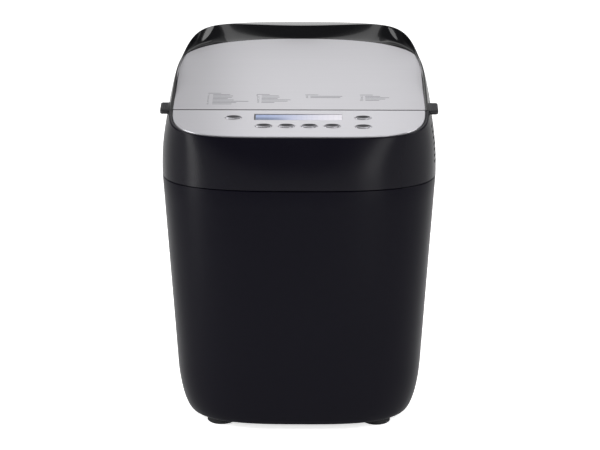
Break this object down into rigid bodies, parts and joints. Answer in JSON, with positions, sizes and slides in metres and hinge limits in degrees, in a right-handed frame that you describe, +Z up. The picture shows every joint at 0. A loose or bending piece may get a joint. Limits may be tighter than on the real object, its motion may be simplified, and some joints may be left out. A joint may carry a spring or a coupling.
{
  "type": "bread machine",
  "caption": "Tall bread machine with a rounded housing, a sloping metal top with keys and display, a hinged lid with a rear cowl, a heated chamber, a lift-out pan and a belt-driven blade.",
  "frame": {"origin": "on the floor under the feet, in the middle of the bounding box", "axes": "+X to the right as one faces the front, +Y to the rear, +Z up"},
  "size_m": [0.2772, 0.287, 0.3716],
  "materials": {
    "housing_plastic": "satin black moulded plastic",
    "brushed_metal": "fine brushed aluminium face plate",
    "key_metal": "satin metallised key caps",
    "display_glass": "tinted display lens",
    "display_body": "matt",
    "steel_sheet": "plain sheet steel",
    "zinc_sheet": "zinc plated",
    "pan_coating": "non-stick coating",
    "rubber": "matt rubber",
    "silicone": "grey silicone",
    "circuit_board": "solder-masked board",
    "board_parts": "moulded cases",
    "bronze": "sintered bronze",
    "copper_winding": "varnished winding",
    "ceramic": "fired ceramic",
    "inner_plastic": "matt black moulded plastic"
  },
  "bodies": {
    "root": {"rubber_feet": "rubber", "base_plate": "inner_plastic", "base_screws": "steel_sheet", "lower_shell": "housing_plastic", "upper_shell": "housing_plastic", "control_panel": "brushed_metal", "control_housing": "inner_plastic", "display_window": "display_glass", "display_module": "display_body", "control_board": "circuit_board", "board_screws": "steel_sheet", "keypad": "rubber", "side_vent_baffle": "inner_plastic", "cord_gland": "rubber", "chassis": "zinc_sheet", "heat_shield": "zinc_sheet", "chamber_liner": "steel_sheet", "top_frame": "inner_plastic", "hinge_pins": "steel_sheet", "heating_tube": "pan_coating", "heater_clips": "steel_sheet", "heater_bushings": "ceramic", "temperature_sensor": "steel_sheet", "thermal_fuse": "ceramic", "pan_seat": "steel_sheet", "drive_bearing": "zinc_sheet", "drive_bush": "bronze", "drive_belt": "rubber", "motor_case": "zinc_sheet", "motor_stator": "copper_winding", "power_board": "circuit_board", "board_parts": "board_parts", "capacitor": "board_parts"},
    "lid": {"lid_shell": "housing_plastic", "lid_plate": "brushed_metal", "lid_liner": "steel_sheet", "lid_gasket": "silicone", "lid_hinge_arms": "zinc_sheet", "lid_screws": "steel_sheet"},
    "pan": {"bread_pan": "pan_coating", "pan_base": "zinc_sheet", "pan_bush": "bronze", "pan_seal": "silicone", "pan_ears": "steel_sheet"},
    "handle": {"pan_handle": "steel_sheet", "handle_grip": "inner_plastic"},
    "drive": {"drive_shaft": "steel_sheet", "drive_pulley": "inner_plastic", "drive_coupler": "steel_sheet"},
    "kneader": {"pan_shaft": "steel_sheet", "pan_coupler": "zinc_sheet", "kneading_blade": "pan_coating"},
    "motor": {"motor_rotor": "steel_sheet"},
    "key_left_body": {"key_left": "key_metal"},
    "key_row_1_body": {"key_row_1": "key_metal"},
    "key_row_2_body": {"key_row_2": "key_metal"},
    "key_row_3_body": {"key_row_3": "key_metal"},
    "key_row_4_body": {"key_row_4": "key_metal"},
    "key_right_rear_body": {"key_right_rear": "key_metal"},
    "key_right_front_body": {"key_right_front": "key_metal"}
  },
  "joints": [
    {"name": "lid_hinge", "type": "hinge", "parent": "root", "child": "lid", "pos_m": [0, 0.1245, 0.35902], "axis": [-1, 0, 0], "range_deg": [0, 75]},
    {"name": "pan_lift", "type": "slide", "parent": "root", "child": "pan", "axis": [0, 0, 1], "range_m": [0, 0.045]},
    {"name": "handle_swing", "type": "hinge", "parent": "pan", "child": "handle", "pos_m": [0, 0.026, 0.257], "axis": [1, 0, 0], "range_deg": [0, 180]},
    {"name": "drive_spin", "type": "hinge", "parent": "root", "child": "drive", "pos_m": [0, 0.026, 0.05], "axis": [0, 0, 1], "continuous": true},
    {"name": "kneader_spin", "type": "hinge", "parent": "pan", "child": "kneader", "pos_m": [0, 0.026, 0.1], "axis": [0, 0, 1], "continuous": true},
    {"name": "motor_spin", "type": "hinge", "parent": "root", "child": "motor", "pos_m": [-0.05, -0.094, 0.05], "axis": [0, 0, 1], "continuous": true},
    {"name": "key_left_press", "type": "slide", "parent": "root", "child": "key_left_body", "axis": [0, 0.2198, -0.9755], "range_m": [0, 0.0006], "stiffness_N_per_m": 600, "springref_m": -0.0006},
    {"name": "key_row_1_press", "type": "slide", "parent": "root", "child": "key_row_1_body", "axis": [0, 0.2198, -0.9755], "range_m": [0, 0.0006], "stiffness_N_per_m": 600, "springref_m": -0.0006},
    {"name": "key_row_2_press", "type": "slide", "parent": "root", "child": "key_row_2_body", "axis": [0, 0.2198, -0.9755], "range_m": [0, 0.0006], "stiffness_N_per_m": 600, "springref_m": -0.0006},
    {"name": "key_row_3_press", "type": "slide", "parent": "root", "child": "key_row_3_body", "axis": [0, 0.2198, -0.9755], "range_m": [0, 0.0006], "stiffness_N_per_m": 600, "springref_m": -0.0006},
    {"name": "key_row_4_press", "type": "slide", "parent": "root", "child": "key_row_4_body", "axis": [0, 0.2198, -0.9755], "range_m": [0, 0.0006], "stiffness_N_per_m": 600, "springref_m": -0.0006},
    {"name": "key_right_rear_press", "type": "slide", "parent": "root", "child": "key_right_rear_body", "axis": [0, 0.2198, -0.9755], "range_m": [0, 0.0006], "stiffness_N_per_m": 600, "springref_m": -0.0006},
    {"name": "key_right_front_press", "type": "slide", "parent": "root", "child": "key_right_front_body", "axis": [0, 0.2198, -0.9755], "range_m": [0, 0.0006], "stiffness_N_per_m": 600, "springref_m": -0.0006}
  ],
  "couplings": [
    {"joint": "kneader_spin", "follows": "drive_spin", "ratio": 1},
    {"joint": "motor_spin", "follows": "drive_spin", "ratio": 5.75}
  ]
}
